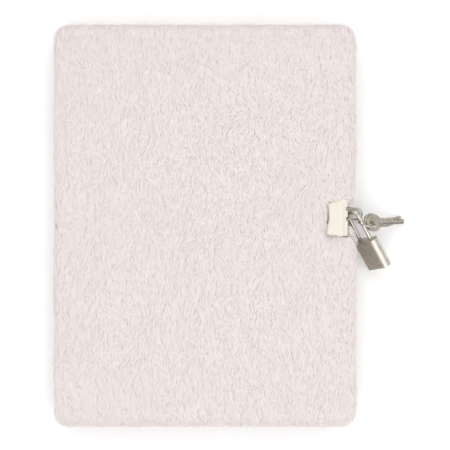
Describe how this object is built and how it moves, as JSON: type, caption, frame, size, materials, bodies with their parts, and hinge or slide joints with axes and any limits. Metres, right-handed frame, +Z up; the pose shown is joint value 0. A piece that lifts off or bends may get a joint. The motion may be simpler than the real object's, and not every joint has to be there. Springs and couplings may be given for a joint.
{
  "type": "diary with lock",
  "caption": "Plush-covered hardback diary with strap tabs and wire rings at the fore-edge, a small padlock on the front ring and keys on a thin wire ring.",
  "frame": {"origin": "middle of the back cover's underside, on the surface that the diary lies on", "axes": "+Z up through the front cover, +Y to the head of the page, +X to the fore-edge with the lock"},
  "size_m": [0.1834, 0.2106, 0.0224],
  "materials": {
    "plush": "soft pale pink-white pile",
    "board": "grey book board",
    "endpaper": "matt endpaper",
    "strap": "cream leatherette",
    "ring_wire": "nickel-plated wire",
    "paper": "uncoated page stock",
    "lining": "glued mull",
    "band": "woven band",
    "shackle_steel": "nickel-plated steel",
    "lock_metal": "brushed nickel plate",
    "pin_steel": "plain steel",
    "spring_steel": "spring wire",
    "plug_brass": "turned brass",
    "key_metal": "nickel-plated steel"
  },
  "bodies": {
    "back_cover": {"back_plush": "plush", "back_board": "board", "back_pastedown": "endpaper", "back_tab": "strap", "back_flyleaf": "endpaper", "section_5": "paper", "section_6": "paper", "section_7": "paper", "section_8": "paper", "spine_plush": "plush", "spine_board": "board", "spine_lining": "lining", "headband": "band", "tailband": "band"},
    "front_pages": {"section_1": "paper", "section_2": "paper", "section_3": "paper", "section_4": "paper"},
    "flyleaf": {"front_flyleaf": "endpaper"},
    "front_cover": {"front_plush": "plush", "front_board": "board", "front_pastedown": "endpaper", "front_tab": "strap"},
    "front_ring": {"front_ring": "ring_wire"},
    "back_ring": {"back_ring": "ring_wire"},
    "shackle": {"shackle": "shackle_steel"},
    "spring_seat": {"spring_seat": "pin_steel", "shackle_spring": "spring_steel"},
    "lock": {"lock_case": "lock_metal", "lock_cap": "lock_metal", "shackle_pin": "pin_steel", "plug_pin": "pin_steel"},
    "key_plug": {"key_plug": "plug_brass"},
    "latch_bolt": {"latch_bolt": "pin_steel"},
    "key_ring": {"key_ring": "ring_wire"},
    "key_1": {"key_1": "key_metal"},
    "key_2": {"key_2": "key_metal"}
  },
  "joints": [
    {"name": "pages_open", "type": "hinge", "parent": "back_cover", "child": "front_pages", "pos_m": [-0.07915, 0, 0.0152], "axis": [0, -1, 0], "range_deg": [0, 180]},
    {"name": "flyleaf_turn", "type": "hinge", "parent": "front_pages", "child": "flyleaf", "pos_m": [-0.07915, 0, 0.0152], "axis": [0, -1, 0], "range_deg": [0, 180]},
    {"name": "front_cover_open", "type": "hinge", "parent": "flyleaf", "child": "front_cover", "pos_m": [-0.07915, 0, 0.0152], "axis": [0, -1, 0], "range_deg": [0, 180]},
    {"name": "front_ring_swing", "type": "hinge", "parent": "front_cover", "child": "front_ring", "pos_m": [0.0729, 0.006, 0.0193], "axis": [0, -1, 0], "range_deg": [0, 110]},
    {"name": "back_ring_swing", "type": "hinge", "parent": "back_cover", "child": "back_ring", "pos_m": [0.0729, 0.006, 0.0016], "axis": [0, -1, 0], "range_deg": [-80, 35]},
    {"name": "lock_swing", "type": "hinge", "parent": "front_ring", "child": "shackle", "pos_m": [0.07844, 0.0032, 0.0161], "axis": [-0.866, 0, 0.5], "range_deg": [0, 70]},
    {"name": "shackle_press", "type": "slide", "parent": "shackle", "child": "spring_seat", "axis": [0.4551, -0.8381, -0.3007], "range_m": [-0.003, 0], "stiffness_N_per_m": 60, "springref_m": 0.002, "deforming": ["shackle_spring"]},
    {"name": "lock_turn", "type": "hinge", "parent": "spring_seat", "child": "lock", "pos_m": [0.08014, 0.00442, 0.0186], "axis": [0.4551, -0.8381, -0.3007], "range_deg": [0, 120]},
    {"name": "plug_turn", "type": "hinge", "parent": "lock", "child": "key_plug", "pos_m": [0.0839, -0.00741, 0.01203], "axis": [-0.4551, 0.8381, 0.3007], "range_deg": [-90, 0]},
    {"name": "latch_slide", "type": "slide", "parent": "lock", "child": "latch_bolt", "axis": [0.6947, 0.1229, 0.7087], "range_m": [-0.00113, 0]},
    {"name": "key_ring_turn", "type": "hinge", "parent": "shackle", "child": "key_ring", "pos_m": [0.08014, 0.00442, 0.0186], "axis": [-0.4551, 0.8381, 0.3007], "range_deg": [-5, 45]},
    {"name": "key_1_fan", "type": "hinge", "parent": "key_ring", "child": "key_1", "pos_m": [0.08687, 0.00131, 0.0137], "axis": [0.5718, 0.045, 0.8192], "range_deg": [0, 45]},
    {"name": "key_2_fan", "type": "hinge", "parent": "key_ring", "child": "key_2", "pos_m": [0.08537, 0.00182, 0.01316], "axis": [0.5718, 0.045, 0.8192], "range_deg": [0, 40]}
  ],
  "couplings": [
    {"joint": "plug_turn", "follows": "latch_slide", "rad_per_m": 1388.4}
  ]
}
